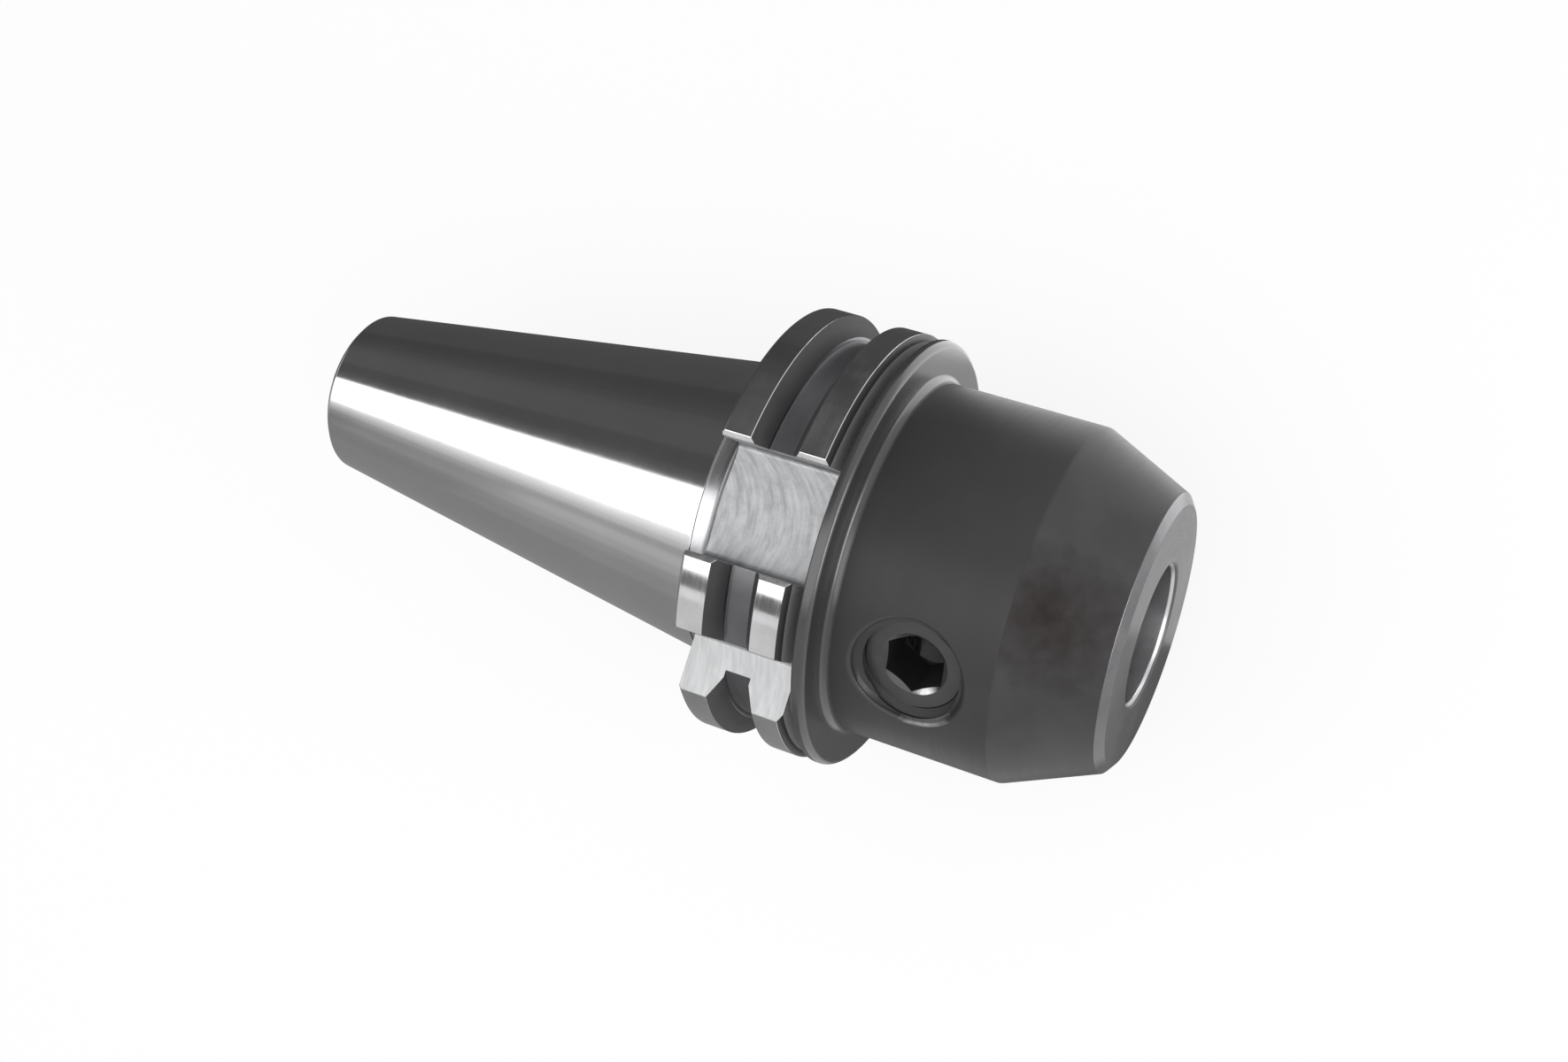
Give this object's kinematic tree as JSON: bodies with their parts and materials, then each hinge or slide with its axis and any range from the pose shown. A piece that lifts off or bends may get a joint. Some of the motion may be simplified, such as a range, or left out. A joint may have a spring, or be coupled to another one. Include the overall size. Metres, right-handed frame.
{
  "type": "end mill holder",
  "caption": "Side-lock end mill holder with a 7:24 steep taper shank, gripper flange, drive slots and a clamping screw.",
  "frame": {"origin": "centre of the gauge plane, where the spindle taper has its gauge diameter", "axes": "+X along the spindle axis towards the nose, +Z the normal of the drive slot whose floor is 22.8 mm from the axis, +Y completes a right-handed frame"},
  "size_m": [0.1294, 0.0636, 0.0634],
  "materials": {
    "holder_steel": "satin",
    "screw_steel": "satin"
  },
  "bodies": {
    "holder": {"holder_body": "holder_steel"},
    "screw": {"clamping_screw": "screw_steel"}
  },
  "joints": [
    {"name": "screw_travel", "type": "slide", "parent": "holder", "child": "screw", "axis": [0, -0.5878, 0.809], "range_m": [-0.002, 0.008]}
  ]
}
